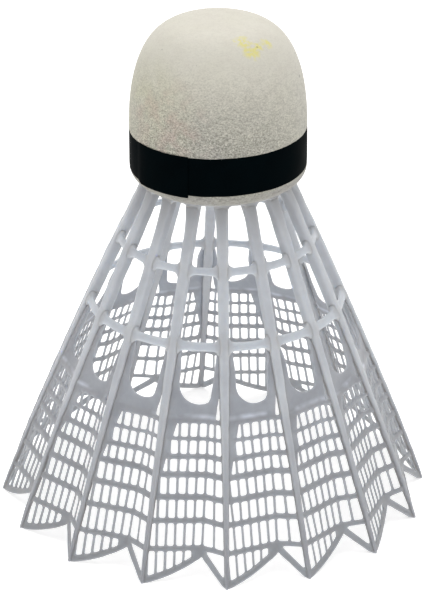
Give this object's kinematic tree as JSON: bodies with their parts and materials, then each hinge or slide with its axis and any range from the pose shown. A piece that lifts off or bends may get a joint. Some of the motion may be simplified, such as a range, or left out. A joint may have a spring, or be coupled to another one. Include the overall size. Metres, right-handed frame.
{
  "type": "badminton shuttlecock",
  "caption": "Synthetic badminton shuttlecock: a covered round-topped cork head with a dark tape band, on a flared ribbed skirt of translucent nylon with pleated, latticed vanes.",
  "frame": {"origin": "centre of the circle of the rib tips, on the surface that the shuttlecock stands on", "axes": "+Z along the shuttlecock's axis, from the skirt towards the head; -Y through the first rib, which faces the front"},
  "size_m": [0.064, 0.064, 0.0755],
  "materials": {
    "cork": "matte natural cork",
    "cover": "matte, fine suede-like grain",
    "band": "satin black tape",
    "nylon": "translucent milky nylon, satin"
  },
  "bodies": {
    "root": {"head_core": "cork", "head_cover": "cover", "speed_band": "band", "skirt_hub": "nylon", "stem_ring_upper": "nylon", "stem_ring_lower": "nylon", "rib_01": "nylon", "rib_02": "nylon", "rib_03": "nylon", "rib_04": "nylon", "rib_05": "nylon", "rib_06": "nylon", "rib_07": "nylon", "rib_08": "nylon", "rib_09": "nylon", "rib_10": "nylon", "rib_11": "nylon", "rib_12": "nylon", "rib_13": "nylon", "rib_14": "nylon", "rib_15": "nylon", "rib_16": "nylon", "vane_01": "nylon", "vane_02": "nylon", "vane_03": "nylon", "vane_04": "nylon", "vane_05": "nylon", "vane_06": "nylon", "vane_07": "nylon", "vane_08": "nylon", "vane_09": "nylon", "vane_10": "nylon", "vane_11": "nylon", "vane_12": "nylon", "vane_13": "nylon", "vane_14": "nylon", "vane_15": "nylon", "vane_16": "nylon"}
  },
  "joints": []
}
